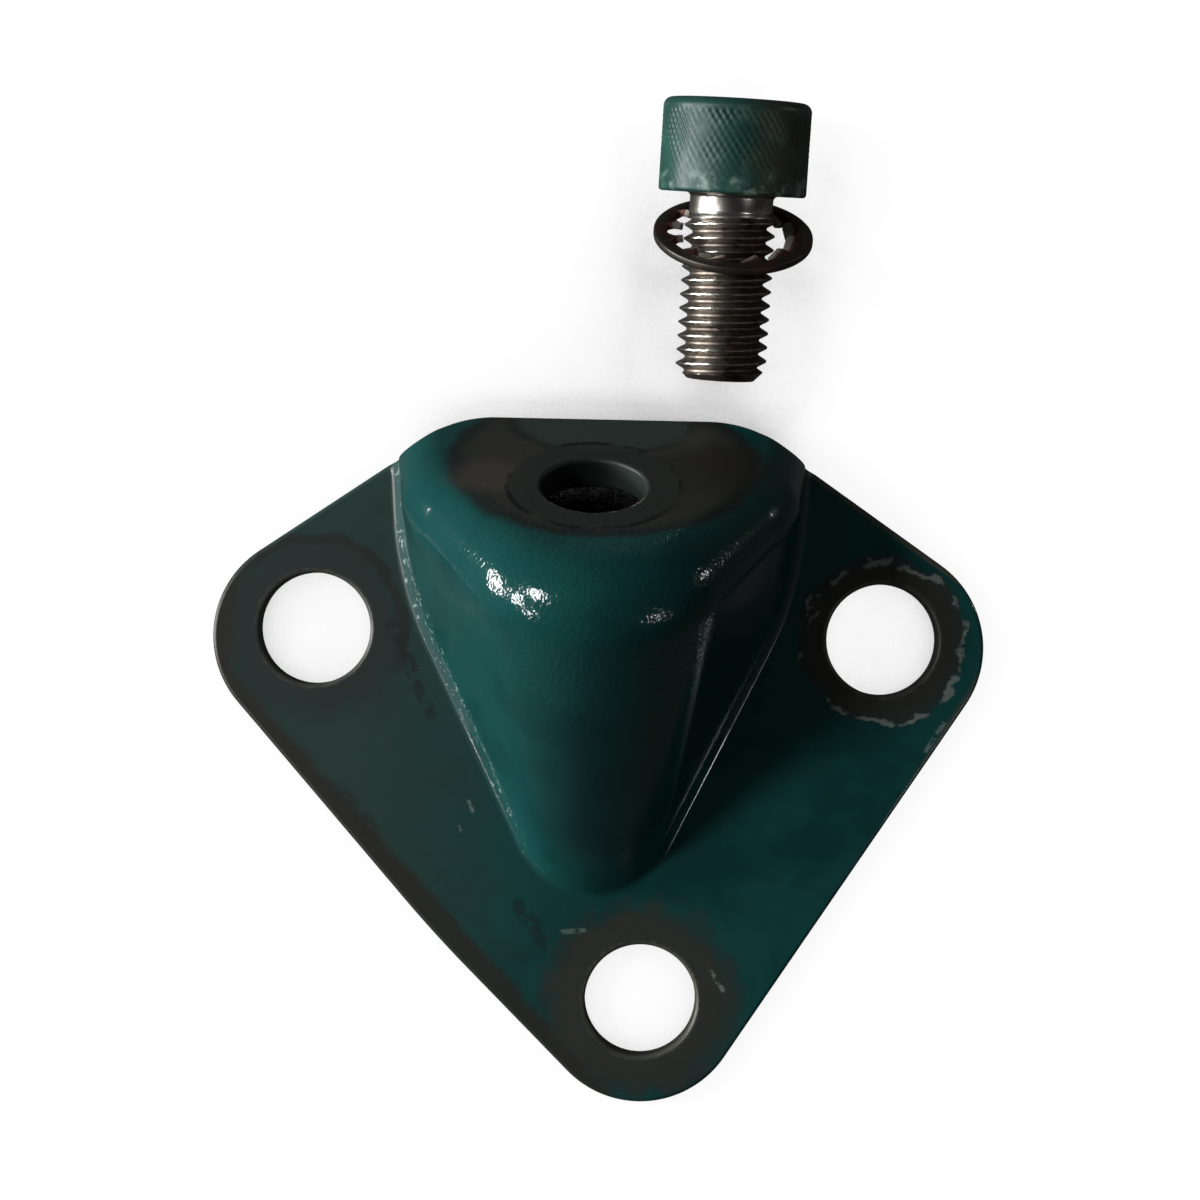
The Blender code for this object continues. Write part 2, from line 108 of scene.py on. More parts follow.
def bevelEdges(item, width, segments, fromDegrees):
    bevel = item.modifiers.new("Edges", "BEVEL")
    bevel.width = width * mm
    bevel.segments = segments
    bevel.limit_method = "ANGLE"
    bevel.angle_limit = math.radians(fromDegrees)
    return bevel


def settleModifiers(item, helpers):
    # Keeps the finished mesh and takes the modifiers and the helper shapes away
    bpy.context.view_layer.update()
    graph = bpy.context.evaluated_depsgraph_get()
    mesh = bpy.data.meshes.new_from_object(item.evaluated_get(graph))
    item.modifiers.clear()
    item.data = mesh
    for helper in helpers:
        bpy.data.objects.remove(helper, do_unlink=True)


def shadeRound(item, degrees):
    item.data.shade_smooth()
    item.data.set_sharp_from_angle(angle=math.radians(degrees))


def quarterArc(centreX, centreY, radius, start, turn, steps, first=1):
    # Round corner of a profile, from `start` degrees through `turn` degrees
    angles = [math.radians(start + turn * i / steps) for i in range(first, steps + 1)]
    return [(centreX + radius * math.cos(a), centreY + radius * math.sin(a)) for a in angles]


# The pressed bracket: sizes in mm and degrees, plan measured from the middle of the upper holes

bracket = {
    "plate": 3.5,
    "punchedEdge": 0.45,
    "holeSpacing": 62.4,
    "holeDrop": 40.15,
    "holeShift": 5.45,
    "flangeHole": 12.2,
    "lobeRadius": 11.19,
    "lobeDrop": 0.85,
    "browSlope": 34.5,
    "browRadius": 13,
    "bowUpper": 1.5,
    "bowLower": 2.4,
    "bowRadius": 150,
    "bowSteps": 8,
    "backEdge": 23.5,
    "footReach": 28.6,
    "footRadius": 8.4,
    "veeHalfAngle": 26,
    "shoulderLevel": 4.5,
    "shoulderRadius": 38,
    "sideFlare": 4,
    "foldRadius": 1.2,
    "sideDraft": 5,
    "veeDraft": 18.3,
    "ledgeTilt": 58,
    "ledgeHole": 11,
    "ledgeHoleX": -0.8,
    "ledgeHoleY": 15.66,
    "ledgeHoleHeight": 19.5,
    "rimShoulderRadius": 15,
    "noseRadius": 15,
    "rimInnerBack": 0.6,
    "rimInnerNose": 3,
    "frameShift": -3.8605,  # the plan's own origin in the frame, along Y
    "flatMargin": 1.6,
    "lobeSteps": 48,
    "cornerSteps": 20,
    "foldSteps": 8,
    "rimSteps": 16,
    "wallSteps": 12,
    "endSteps": 5,
    "shoulderSteps": 14,
    "veeSteps": 22,
    "noseSteps": 26,
}

ledgeTilt = math.radians(bracket["ledgeTilt"])
ledgeNormal = Vector((0, math.sin(ledgeTilt), math.cos(ledgeTilt)))
ledgeDown = Vector((0, math.cos(ledgeTilt), -math.sin(ledgeTilt)))
ledgeCentre = Vector((0, bracket["ledgeHoleY"], bracket["ledgeHoleHeight"]))
leftLobe = (-bracket["holeSpacing"] / 2, -bracket["lobeDrop"])
rightLobe = (bracket["holeSpacing"] / 2, -bracket["lobeDrop"])
footLobe = (bracket["holeShift"], -bracket["holeDrop"])


def unit(angle):
    return np.array([math.cos(angle), math.sin(angle)])


def tangentLine(centre, angle):
    direction = unit(angle)
    outward = np.array([direction[1], -direction[0]])
    return np.array(centre) + bracket["lobeRadius"] * outward, direction


def meet(first, second):
    (start, along), (other, across) = first, second
    steps = np.linalg.solve(np.column_stack([along, -across]), other - start)
    return start + steps[0] * along


def roundCorner(before, corner, after, radius, steps):
    enter = (corner - before) / np.linalg.norm(corner - before)
    leave = (after - corner) / np.linalg.norm(after - corner)
    turn = math.acos(max(-1, min(1, float(enter @ leave))))
    side = np.sign(enter[0] * leave[1] - enter[1] * leave[0])
    normal = side * np.array([-enter[1], enter[0]])
    start = corner - enter * radius * math.tan(turn / 2)
    centre = start + normal * radius
    angles = np.linspace(0, turn, steps + 1)
    return [centre + radius * (enter * math.sin(a) - normal * math.cos(a)) for a in angles]


def flangeOutline():
    # Counter-clockwise from the rear left corner of the ledge
    slope = math.radians(bracket["browSlope"])
    leftAngle = math.atan2(footLobe[1] - leftLobe[1], footLobe[0] - leftLobe[0])
    rightAngle = math.atan2(rightLobe[1] - footLobe[1], rightLobe[0] - footLobe[0])
    lines = [
        (np.array([0, bracket["backEdge"]]), unit(math.pi)),
        tangentLine(leftLobe, math.pi + slope),
        tangentLine(leftLobe, leftAngle - math.radians(bracket["bowUpper"])),
        tangentLine(footLobe, leftAngle + math.radians(bracket["bowLower"])),
        tangentLine(footLobe, rightAngle),
        tangentLine(rightLobe, math.pi - slope),
    ]
    lobe, brow = bracket["lobeRadius"], bracket["browRadius"]
    around, corner = bracket["lobeSteps"], bracket["cornerSteps"]
    radii = [brow, lobe, bracket["bowRadius"], lobe, lobe, brow]
    steps = [corner, around, bracket["bowSteps"], around, around, corner]
    count = len(lines)
    corners = [meet(lines[i], lines[(i + 1) % count]) for i in range(count)]
    points = []
    for i in range(count):
        following = corners[(i + 1) % count]
        points += roundCorner(corners[i - 1], corners[i], following, radii[i], steps[i])
    return points


def cutByOutline(inner, outer, outline):
    step = outer - inner
    crossings = []
    for i, corner in enumerate(outline):
        edge = outline[(i + 1) % len(outline)] - corner
        system = np.column_stack([step, -edge])
        if abs(np.linalg.det(system)) < 1e-10:
            continue
        along, across = np.linalg.solve(system, corner - inner)
        if along > 0 and 0 <= across <= 1:
            crossings.append(along)
    return min(crossings)


def wallPlane(degrees, draft, point):
    angle, lean = math.radians(degrees), math.radians(draft)
    flat = math.cos(lean)
    normal = np.array([-math.cos(angle) * flat, -math.sin(angle) * flat, math.sin(lean)])
    return normal, float(normal @ point)


def guideCorners():
    # End, shoulder and apex of the fold line in plan, and of the rim across and down the ledge
    halfAngle = math.radians(bracket["veeHalfAngle"])
    level, back = bracket["shoulderLevel"], bracket["backEdge"]
    apex = -bracket["footReach"] - bracket["footRadius"] * (1 / math.sin(halfAngle) - 1)
    shoulderX = -(level - apex) * math.tan(halfAngle)
    endX = shoulderX - (back - level) * math.tan(math.radians(bracket["sideFlare"]))
    fold = [np.array(end) for end in ((endX, back), (shoulderX, level), (0, apex))]
    foot = np.array([shoulderX, level, bracket["plate"]])
    sideNormal, sideOffset = wallPlane(bracket["sideFlare"], bracket["sideDraft"], foot)
    veeNormal, veeOffset = wallPlane(bracket["veeHalfAngle"], bracket["veeDraft"], foot)
    across, down, middle = np.array([1, 0, 0]), np.array(ledgeDown), np.array(ledgeCentre)
    sideRow = [sideNormal @ across, sideNormal @ down]
    veeRow = [veeNormal @ across, veeNormal @ down]
    sideRest = sideOffset - sideNormal @ middle
    veeRest = veeOffset - veeNormal @ middle
    shoulder = np.linalg.solve(np.array([sideRow, veeRow]), np.array([sideRest, veeRest]))
    endDown = (back - bracket["ledgeHoleY"]) / math.cos(ledgeTilt) + bracket["plate"]
    end = np.array([(sideRest - sideRow[1] * endDown) / sideRow[0], endDown])
    return fold, [end, shoulder, np.array([0, veeRest / veeRow[1]])]


def turnBetween(first, second, share):
    start = math.atan2(first[1], first[0])
    swing = math.atan2(second[1], second[0]) - start
    swing = (swing + math.pi) % (2 * math.pi) - math.pi
    return unit(start + swing * share)


def guideSamples(corners, shoulderRadius, noseRadius):
    end, shoulder, apex = corners
    shoulderSteps, noseSteps = bracket["shoulderSteps"], bracket["noseSteps"]
    veeSteps = bracket["veeSteps"]
    mirror = np.array([-shoulder[0], shoulder[1]])
    shoulderArc = roundCorner(end, shoulder, apex, shoulderRadius, shoulderSteps)
    noseArc = roundCorner(shoulder, apex, mirror, noseRadius, 2 * noseSteps)
    half = [end] + shoulderArc
    for i in range(1, veeSteps):
        half.append(shoulderArc[-1] + (noseArc[0] - shoulderArc[-1]) * i / veeSteps)
    half += noseArc[:noseSteps + 1]
    points = half + [np.array([-p[0], p[1]]) for p in reversed(half[:-1])]
    side = (shoulder - end) / np.linalg.norm(shoulder - end)
    vee = (apex - shoulder) / np.linalg.norm(apex - shoulder)
    headings = [side, side]
    headings += [turnBetween(side, vee, i / shoulderSteps) for i in range(1, shoulderSteps + 1)]
    headings += [vee] * (veeSteps - 1)
    across = np.array([1, 0])
    headings += [turnBetween(vee, across, i / noseSteps) for i in range(noseSteps + 1)]
    headings += [np.array([h[0], -h[1]]) for h in reversed(headings[:-1])]
    return points, headings


def fillet(corner, enter, leave, radius, steps, hollow):
    # Round bend of a section: each point with the direction that faces up from the plate
    turn = enter.angle(leave)
    start = corner - enter * radius * math.tan(turn / 2)
    normal = (leave - enter * leave.dot(enter)).normalized()
    centre = start + normal * radius
    bend = []
    for i in range(steps + 1):
        a = turn * i / steps
        spoke = enter * math.sin(a) - normal * math.cos(a)
        bend.append((centre + radius * spoke, -spoke if hollow else spoke))
    return bend


def onLedge(across, down):
    return ledgeCentre + Vector((across, 0, 0)) + ledgeDown * down


def bossSection(foldPoint, foldWay, rimPoint, rimWay, rise, rimRadius):
    # One line over the boss: flange, fold, wall, rim, ledge; points of the upper and lower face
    foot = Vector((*foldPoint, bracket["plate"]))
    footWay = Vector((*foldWay, 0))
    top = onLedge(*rimPoint)
    topWay = Vector((rimWay[0], 0, 0)) + ledgeDown * rimWay[1]
    inward = Vector((-footWay.y, footWay.x, 0))
    wallAtFoot = (rise - footWay * rise.dot(footWay)).normalized()
    wallAtTop = (rise - topWay * rise.dot(topWay)).normalized()
    over = ledgeNormal.cross(topWay)
    fold = fillet(foot, inward, wallAtFoot, bracket["foldRadius"], bracket["foldSteps"], True)
    rim = fillet(top, wallAtTop, over, rimRadius, bracket["rimSteps"], False)
    section = [(fold[0][0] - inward * bracket["flatMargin"], Vector((0, 0, 1)))] + fold
    (wallFoot, upFoot), (wallTop, upTop) = fold[-1], rim[0]
    for i in range(1, bracket["wallSteps"]):
        share = i / bracket["wallSteps"]
        section.append((wallFoot.lerp(wallTop, share), upFoot.lerp(upTop, share).normalized()))
    section += rim + [(rim[-1][0] + over * bracket["flatMargin"], ledgeNormal)]
    return [(point, point - bracket["plate"] * up) for point, up in section]


def blendSections(first, second, share):
    return [(a.lerp(c, share), b.lerp(d, share)) for (a, b), (c, d) in zip(first, second)]


def bossSections(outline):
    fold, rim = guideCorners()
    foldPoints, foldWays = guideSamples(fold, bracket["shoulderRadius"], bracket["footRadius"])
    rimPoints, rimWays = guideSamples(rim, bracket["rimShoulderRadius"], bracket["noseRadius"])
    count, plate = len(foldPoints), bracket["plate"]
    atBack, atNose = bracket["rimInnerBack"], bracket["rimInnerNose"]
    # The rim's bend opens from the back of the ledge to the nose, evenly along the rim
    lengths = [0]
    for a, b in zip(rimPoints, rimPoints[1:]):
        lengths.append(lengths[-1] + float(np.linalg.norm(b - a)))
    sections = []
    for i in range(count):
        opening = smoothShare(1 - abs(2 * lengths[i] / lengths[-1] - 1), 0, 1)
        inner = atBack + (atNose - atBack) * opening
        j = min(max(i, 1), count - 2)
        rise = onLedge(*rimPoints[j]) - Vector((*foldPoints[j], plate))
        sections.append(bossSection(
            foldPoints[i], foldWays[i], rimPoints[i], rimWays[i], rise, plate + inner))
    # The blank's own edge trims the walls at the back
    for end, neighbour in ((0, 1), (-1, -2)):
        trimmed = []
        for (outer, outerLow), (inner, innerLow) in zip(sections[end], sections[neighbour]):
            share = cutByOutline(np.array(inner.xy), np.array(outer.xy), outline)
            trimmed.append((inner.lerp(outer, share), innerLow.lerp(outerLow, share)))
        sections[end] = trimmed
    shares = [i / bracket["endSteps"] for i in range(1, bracket["endSteps"])]
    left = [blendSections(sections[0], sections[1], share) for share in shares]
    right = [blendSections(sections[-2], sections[-1], share) for share in shares]
    return [sections[0]] + left + sections[1:-1] + right + [sections[-1]]


def outlineBetween(outline, start, end):
    def edgeOf(point):
        gaps = []
        for i, corner in enumerate(outline):
            edge = outline[(i + 1) % len(outline)] - corner
            share = max(0, min(1, float((point - corner) @ edge / (edge @ edge))))
            gaps.append(np.linalg.norm(corner + share * edge - point))
        return int(np.argmin(gaps))
    first, last = edgeOf(start), edgeOf(end)
    count = (last - first) % len(outline)
    return [outline[(first + 1 + i) % len(outline)] for i in range(count)]


def makeBracket():
    outline = flangeOutline()
    sections = bossSections(outline)
    wide, plateDepth = len(sections[0]), bracket["plate"]
    upper = [pair[0] for section in sections for pair in section]
    lower = [pair[1] for section in sections for pair in section]
    faces = []
    for i in range(len(sections) - 1):
        for j in range(wide - 1):
            a, b = i * wide + j, (i + 1) * wide + j
            faces.append((a, b, b + 1, a + 1))
    # Corners of the boss in plan: where its first and last section leave the sheet
    firstOut, firstIn = [np.array(sections[0][j][0].xy) for j in (0, -1)]
    lastOut, lastIn = [np.array(sections[-1][j][0].xy) for j in (0, -1)]
    rows, start = range(len(sections)), len(upper)
    flange = outlineBetween(outline, firstOut, lastOut)
    upper += [Vector((*point, plateDepth)) for point in flange]
    lower += [Vector((*point, 0)) for point in flange]
    faces.append((*range(start, len(upper)), *(i * wide for i in reversed(rows))))
    start = len(upper)
    for x, y in outlineBetween(outline, lastIn, firstIn):
        upper.append(onLedge(x, (y - bracket["ledgeHoleY"]) / math.cos(ledgeTilt)))
        lower.append(upper[-1] - plateDepth * ledgeNormal)
    faces.append((*range(start, len(upper)), *(i * wide + wide - 1 for i in rows)))
    # The lower face, and the cut edge between the two where the sheet ends
    count = len(upper)
    edges = {(a, b) for face in faces for a, b in zip(face, face[1:] + face[:1])}
    cut = [(a, b) for a, b in edges if (b, a) not in edges]
    faces += [tuple(i + count for i in reversed(face)) for face in faces]
    faces += [(b, a, a + count, b + count) for a, b in cut]
    shift = Vector((0, bracket["frameShift"], 0))
    plate = meshObject("pressedBracket", [point + shift for point in upper + lower], faces)

    spacing = bracket["holeSpacing"] / 2
    punches = []
    for i, (x, y) in enumerate([(-spacing, 0), (spacing, 0), footLobe]):
        middle = Vector((x, y, plateDepth / 2)) + shift
        punches.append(punchObject(
            f"punch{i}", bracket["flangeHole"], 3 * plateDepth, Matrix.Translation(middle * mm)))
    middle = onLedge(bracket["ledgeHoleX"], 0) + shift - ledgeNormal * plateDepth / 2
    matrix = Matrix.Translation(middle * mm) @ Matrix.Rotation(-ledgeTilt, 4, "X")
    punches.append(punchObject("punchLedge", bracket["ledgeHole"], 3 * plateDepth, matrix))
    for punch in punches:
        combine(plate, punch, "DIFFERENCE")
    bevelEdges(plate, bracket["punchedEdge"], 3, 60).use_clamp_overlap = False
    settleModifiers(plate, punches)
    shadeRound(plate, 40)
    weigh = plate.modifiers.new("Flat faces stay flat", "WEIGHTED_NORMAL")
    weigh.keep_sharp = True
    weigh.weight = 100
    return plate


# The cap screw, in its own frame: Z from the tip to the head's top

capScrew = {
    "crestRadius": 4.93,
    "pitch": 1.5,
    "crestHalfFlat": 0.09,
    "flank": 0.577,
    "threadDepth": 0.92,
    "neckRadius": 4.51,
    "neckStart": 18.4,
    "threadRunOut": (16.6, 18.2),
    "neckTaper": (17, 18),
    "nickDepth": 0.03,
    "nickSpread": (6, 1.3),  # nicks round the thread, and along each mm
    "length": 20,
    "tipRadius": 3.7,
    "tipSlope": 0.95,
    "headRadius": 8,
    "headHeight": 10,
    "topRound": 1,
    "footRound": 0.4,
    "neckRound": 0.5,
    "socketFlats": 8,
    "socketDepth": 5,
    "socketChamfer": (0.35, 0.3),
    "socketPoint": 1.2,
    "knurlLines": 64,
    "knurlAngle": 34,
    "knurlDepth": 0.11,
    "crossKnurlDepth": 0.03,
    "knurlStart": (20.5, 21.4),
    "knurlEnd": (28.4, 29.1),
    "paintedFoot": (22, 25.5),  # paint fills the knurl below, and leaves it clear above
    "paintPatches": 0.28,
    "leastKnurl": 0.12,
    "shankRows": 24,
    "sideRows": 84,
    "columns": 96,
    "headColumns": 384,
    "tipX": 12.67,
    "tipY": 24.3395,
    "heading": 2.2,
    "tipLength": 1.5,
    "threadRadius": 5,
}
screwTilt = math.atan2(
    capScrew["headRadius"] - capScrew["threadRadius"], capScrew["length"] - capScrew["tipLength"])
tipHeight = (
    capScrew["threadRadius"] * math.cos(screwTilt) - capScrew["tipLength"] * math.sin(screwTilt))
screwPlace = (
    Matrix.Translation(Vector((capScrew["tipX"], capScrew["tipY"], 0)) * mm)
    @ Matrix.Rotation(-math.radians(capScrew["heading"]), 4, "Z"))


def threadRadius(height, angle):
    size = capScrew
    phase = (height / size["pitch"] - angle / (2 * math.pi)) % 1
    fromCrest = abs(phase - 0.5) * size["pitch"]
    depth = (fromCrest - size["crestHalfFlat"]) / size["flank"]
    depth = max(0, min(size["threadDepth"], depth))
    fade = 1 - smoothShare(height, *size["threadRunOut"])
    taper = smoothShare(height, *size["neckTaper"])
    body = size["crestRadius"] + (size["neckRadius"] - size["crestRadius"]) * taper
    spread, along = size["nickSpread"]
    place = Vector((math.cos(angle) * spread, math.sin(angle) * spread, height * along))
    nick = size["nickDepth"] * noise.noise(place)
    return min(body - depth * fade + nick * fade, size["tipRadius"] + height * size["tipSlope"])


def knurlCut(height, angle):
    # Depth of the rolled knurl, drowned in paint towards the foot of the head
    size = capScrew
    turns = size["knurlLines"] * angle / (2 * math.pi)
    radius = size["headRadius"]
    spacing = 2 * math.pi * radius / size["knurlLines"]
    climb = height * math.tan(math.radians(size["knurlAngle"])) / spacing
    place = Vector((math.cos(angle) * radius, math.sin(angle) * radius, height))
    drowned = 0.5 + 0.9 * noise.noise(place * size["paintPatches"])
    drowned *= 0.25 + smoothShare(height, *size["paintedFoot"])
    drowned = max(size["leastKnurl"], min(1, drowned))
    main = 0.5 - 0.5 * math.cos(2 * math.pi * (turns + climb))
    cross = 0.5 - 0.5 * math.cos(2 * math.pi * (turns - climb))
    ends = smoothShare(height, *size["knurlStart"]) * (1 - smoothShare(height, *size["knurlEnd"]))
    return (size["knurlDepth"] * main ** 1.5 + size["crossKnurlDepth"] * cross) * drowned * ends


def makeCapScrew():
    size = capScrew
    columns, headColumns = size["columns"], size["headColumns"]
    points, faces = [], []

    def addRing(count, radiusAt, height):
        start = len(points)
        for i in range(count):
            angle = 2 * math.pi * i / count
            radius = radiusAt(angle)
            points.append((radius * math.cos(angle), radius * math.sin(angle), height))
        return start

    def joinRings(first, second, count):
        for i in range(count):
            j = (i + 1) % count
            faces.append((first + i, first + j, second + j, second + i))

    # Shank, from the tip up
    rows = int(size["neckStart"] / size["pitch"] * size["shankRows"])
    points.append((0, 0, 0))
    shank = []
    for k in range(rows + 1):
        height = size["neckStart"] * k / rows
        shank.append(addRing(columns, lambda a, h=height: threadRadius(h, a), height))
    for i in range(columns):
        faces.append((0, shank[0] + (i + 1) % columns, shank[0] + i))
    for low, high in zip(shank, shank[1:]):
        joinRings(low, high, columns)

    # Head: neck, bearing face, knurled side, rounded top, socket
    bearing, top, radius = size["length"], size["length"] + size["headHeight"], size["headRadius"]
    neck, neckRound = size["neckRadius"], size["neckRound"]
    foot, crown, sideRows = size["footRound"], size["topRound"], size["sideRows"]
    profile = [(neck, size["neckStart"] + 0.1), (neck, bearing - neckRound)]
    profile += quarterArc(neck + neckRound, bearing - neckRound, neckRound, 180, -90, 4)
    profile.append((radius - foot, bearing))
    profile += quarterArc(radius - foot, bearing + foot, foot, -90, 90, 4)
    side = size["headHeight"] - foot - crown
    profile += [(radius, bearing + foot + side * i / sideRows) for i in range(1, sideRows + 1)]
    profile += quarterArc(radius - crown, top - crown, crown, 0, 90, 8)
    rings = []
    for r, h in profile:
        knurled = bearing + foot < h < top - crown + 0.2
        rings.append(addRing(
            headColumns, lambda a, r=r, h=h, cut=knurled: r - (knurlCut(h, a) if cut else 0), h))
    spread, chamfer = size["socketChamfer"]
    for wider, depth in ((spread, 0), (0, chamfer), (0, size["socketDepth"])):
        flat = size["socketFlats"] / 2 + wider
        rings.append(addRing(
            headColumns, lambda a: flat / math.cos(a % (math.pi / 3) - math.pi / 6), top - depth))
    for low, high in zip(rings, rings[1:]):
        joinRings(low, high, headColumns)
    points.append((0, 0, top - size["socketDepth"] - size["socketPoint"]))
    for i in range(headColumns):
        faces.append((len(points) - 1, rings[-1] + i, rings[-1] + (i + 1) % headColumns))

    # The neck joins the fine rings of the head to the shank's
    share = headColumns // columns
    for i in range(columns):
        upper = [rings[0] + (share * i + k) % headColumns for k in range(share, -1, -1)]
        faces.append([shank[-1] + i, shank[-1] + (i + 1) % columns] + upper)
    screw = meshObject("capScrew", points, faces)
    lying = (
        screwPlace @ Matrix.Translation((0, 0, tipHeight * mm))
        @ Matrix.Rotation(screwTilt - math.pi / 2, 4, "X"))
    screw.data.materials.append(makeHeadPaint(lying))
    screw.data.materials.append(makeThreadSteel(lying))
    for face in screw.data.polygons:
        face.material_index = 0 if face.center.z > (size["length"] + 0.02) * mm else 1
    screw.data.transform(lying)
    shadeRound(screw, 38)
    return screw


# The lock washer, in its own frame: Z is its axis

lockWasher = {
    "diameter": 17.3,
    "thickness": 0.9,
    "ride": 0.2,  # how far its middle lies over the shank's axis
    "sidePlay": 0.4,
    "clearance": 0.3,
    "teeth": 12,
    "toothRoot": (0.5, 2.75),  # how deep a tooth starts in the ring, and its width there
    # share of the way from the ring to the tip, width, share of the twist
    "toothShape": [(0, 2.5, 0.2), (0.25, 2.35, 0.6), (0.6, 2.05, 0.95), (1, 1.6, 1)],
    "toothThickness": 0.8,
    "toothTwist": 27,
    "ringInner": 7.15,
    "toothGap": 0.12,  # room left between the teeth and the thread
    "rolledEdge": 0.22,
    "wornEdge": 0.09,
    "columns": 144,
}


def washerPlace():
    # Low rim on the table and against the head's underside, leaning on the shank: height and
    # lean depend on each other, and settle in a few rounds
    radius, half = lockWasher["diameter"] / 2, lockWasher["thickness"] / 2
    bearingY = capScrew["length"] * math.cos(screwTilt)
    bearingZ = tipHeight + capScrew["length"] * math.sin(screwTilt)
    lean = screwTilt
    for _ in range(12):
        cornerY = radius * math.sin(lean) + half * math.cos(lean)
        planeY = bearingY - (2 * half * math.sin(lean) - bearingZ) * math.tan(screwTilt)
        middleY = planeY - lockWasher["clearance"] / math.cos(screwTilt) - cornerY
        height = tipHeight + middleY * math.tan(screwTilt) + lockWasher["ride"]
        lean = math.acos(height / math.hypot(radius, half)) + math.atan2(half, radius)
    return middleY, height, lean


def makeLockWasher():
    size = lockWasher
    radius, half, inner = size["diameter"] / 2, size["thickness"] / 2, size["ringInner"]
    middleY, middleZ, lean = washerPlace()
    # Ring with rolled edges
    edge, turns, profile = size["rolledEdge"], size["columns"], []
    for start, x, z in ((0, radius - edge, half - edge), (90, inner + edge, half - edge),
                        (180, inner + edge, edge - half), (270, radius - edge, edge - half)):
        profile += quarterArc(x, z, edge, start, 90, 3, 0)
    count = len(profile)
    points, faces = [], []
    for i in range(turns):
        angle = 2 * math.pi * i / turns
        points += [(r * math.cos(angle), r * math.sin(angle), z) for r, z in profile]
    for i in range(turns):
        for j in range(count):
            here, following, k = i * count, (i + 1) % turns * count, (j + 1) % count
            faces.append((here + j, following + j, following + k, here + k))
    ring = meshObject("lockWasher", points, faces)

    # Twisted teeth, bent back just clear of the thread, which passes through askew
    askew = lean - screwTilt
    low = size["ride"] * math.cos(screwTilt)
    reach = capScrew["crestRadius"] + size["toothGap"] + low + half * math.sin(askew)
    points, faces = [], []
    for tooth in range(size["teeth"]):
        direction = 2 * math.pi * (tooth + 0.5) / size["teeth"]
        tall = 1 + (1 / math.cos(askew) - 1) * abs(math.sin(direction))
        circle = reach * tall + half * math.sin(math.radians(size["toothTwist"]))
        turn = Matrix.Rotation(direction, 4, "Z")
        buried, rootWidth = size["toothRoot"]
        stations = [(inner + buried, rootWidth, 0)]
        stations += [(inner - way * (inner - circle), w, s) for way, w, s in size["toothShape"]]
        start = len(points)
        for distance, width, share in stations:
            twist = Matrix.Rotation(math.radians(size["toothTwist"]) * share, 4, "X")
            for y, z in ((-1, -1), (1, -1), (1, 1), (-1, 1)):
                corner = Vector((0, y * width / 2, z * size["toothThickness"] / 2))
                points.append(turn @ (twist @ corner + Vector((distance, 0, 0))))
        for i in range(len(stations) - 1):
            for k in range(4):
                a, b = start + 4 * i + k, start + 4 * i + (k + 1) % 4
                faces.append((a, b, b + 4, a + 4))
        faces.append(tuple(start + k for k in range(4)))
        faces.append(tuple(start + 4 * (len(stations) - 1) + k for k in range(4)))
    teeth = meshObject("washerTeeth", points, faces)
    combine(ring, teeth, "UNION")
    bevelEdges(ring, size["wornEdge"], 2, 40)
    settleModifiers(ring, [teeth])
    leaning = (
        screwPlace @ Matrix.Translation(Vector((size["sidePlay"], middleY, middleZ)) * mm)
        @ Matrix.Rotation(lean - math.pi / 2, 4, "X"))
    ring.data.materials.clear()
    ring.data.materials.append(makeSpringSteel(leaning))
    ring.data.transform(leaning)
    shadeRound(ring, 35)
    return ring


# Materials: places and sizes in mm, in each piece's own frame

origin, above, below = (0, 0, 0), (0, 0, 1), (0, 0, -1)
right, left, rearward = (1, 0, 0), (-1, 0, 0), (0, 1, 0)


def startMaterial(name, colour, roughness, frameOfPiece=Matrix.Identity(4)):
    material = bpy.data.materials.new(name)
    material.use_nodes = True
    tree = material.node_tree
    tree.nodes.clear()
    inScene = addNode(tree, "TexCoord", {}, out="Object")
    place = addNode(
        tree, "Mapping",
        {"Vector": inScene, "Location": frameOfPiece.translation,
         "Rotation": frameOfPiece.to_euler(), "Scale": (mm, mm, mm)},
        vector_type="TEXTURE")
    return {"material": material, "colour": toLinear(colour), "roughness": roughness}, place


def cover(coat, colour, roughness, *masks):
    # Puts a finish over what is there, where all its masks are 1
    tree, mask = masks[0].id_data, masks[0]
    for other in masks[1:]:
        mask = addNode(tree, "Math", {0: mask, 1: other}, operation="MULTIPLY")
    coat["colour"] = addNode(
        tree, "Mix", {0: mask, 6: coat["colour"], 7: toLinear(colour)}, out=2, data_type="RGBA")
    coat["roughness"] = addNode(
        tree, "Mix", {0: mask, 2: coat["roughness"], 3: roughness}, data_type="FLOAT")


def endMaterial(coat, relief, reliefHeight, settings):
    tree = relief.id_data
    bump = addNode(tree, "Bump", {"Height": relief, "Distance": reliefHeight * mm})
    shader = addNode(
        tree, "BsdfPrincipled",
        {"Base Color": coat["colour"], "Roughness": coat["roughness"], "Normal": bump, **settings})
    addNode(tree, "OutputMaterial", {"Surface": shader})
    return coat["material"]


def cloud(place, size, detail=3, stretch=(1, 1, 1)):
    # Soft blobs about `size` mm across, from -0.5 to 0.5
    tree = place.id_data
    scaled = addNode(tree, "VectorMath", {0: place, 1: stretch}, operation="MULTIPLY")
    noisy = addNode(
        tree, "TexNoise",
        {"Vector": scaled, "Scale": 1 / size, "Detail": detail, "Roughness": 0.6}, out="Fac")
    return addNode(tree, "Math", {0: noisy, 1: 0.5}, operation="SUBTRACT")


def flecks(place, size, none, full, strength=1):
    # Mask of blobs: 0 where a cloud is up to `none`, rising to `strength` at `full`
    return addNode(
        place.id_data, "MapRange",
        {"Value": cloud(place, size), "From Min": none, "From Max": full, "To Max": strength},
        interpolation_type="SMOOTHSTEP")


